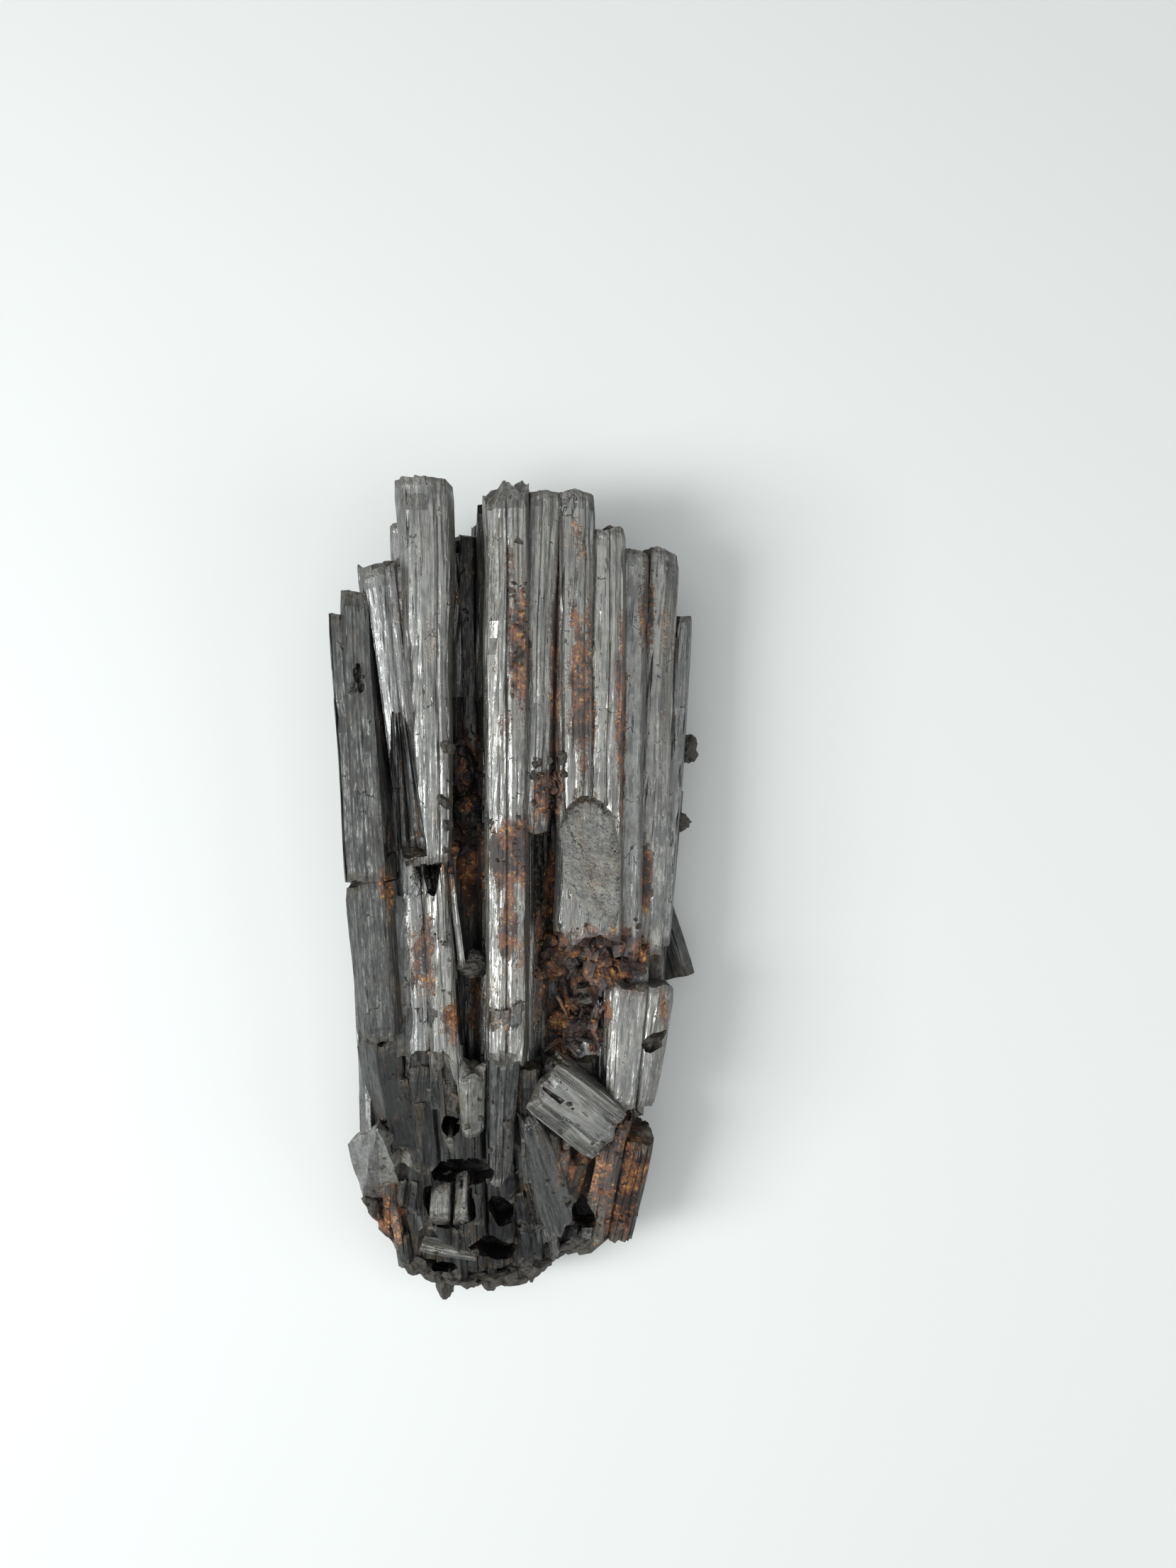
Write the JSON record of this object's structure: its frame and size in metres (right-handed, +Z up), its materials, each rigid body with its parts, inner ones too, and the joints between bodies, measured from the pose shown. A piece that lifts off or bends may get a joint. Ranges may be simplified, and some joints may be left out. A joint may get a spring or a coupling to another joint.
{
  "type": "schorl crystal specimen",
  "caption": "Fan of fluted black tourmaline prisms grown together, broken at the root and tips, with rust staining, lying on its back.",
  "frame": {"origin": "middle of the resting plane, under the middle of the specimen's box", "axes": "+X across the fan, +Y from the broken root to the fanned tips, +Z up from the resting back to the best face"},
  "size_m": [0.0176, 0.0406, 0.0095],
  "materials": {
    "schorl": "black tourmaline with a satin grey sheen, fine lengthwise fluting, dull broken ends and rust-brown iron staining in the grooves"
  },
  "bodies": {
    "root": {"schorl_crystal": "schorl"}
  },
  "joints": []
}
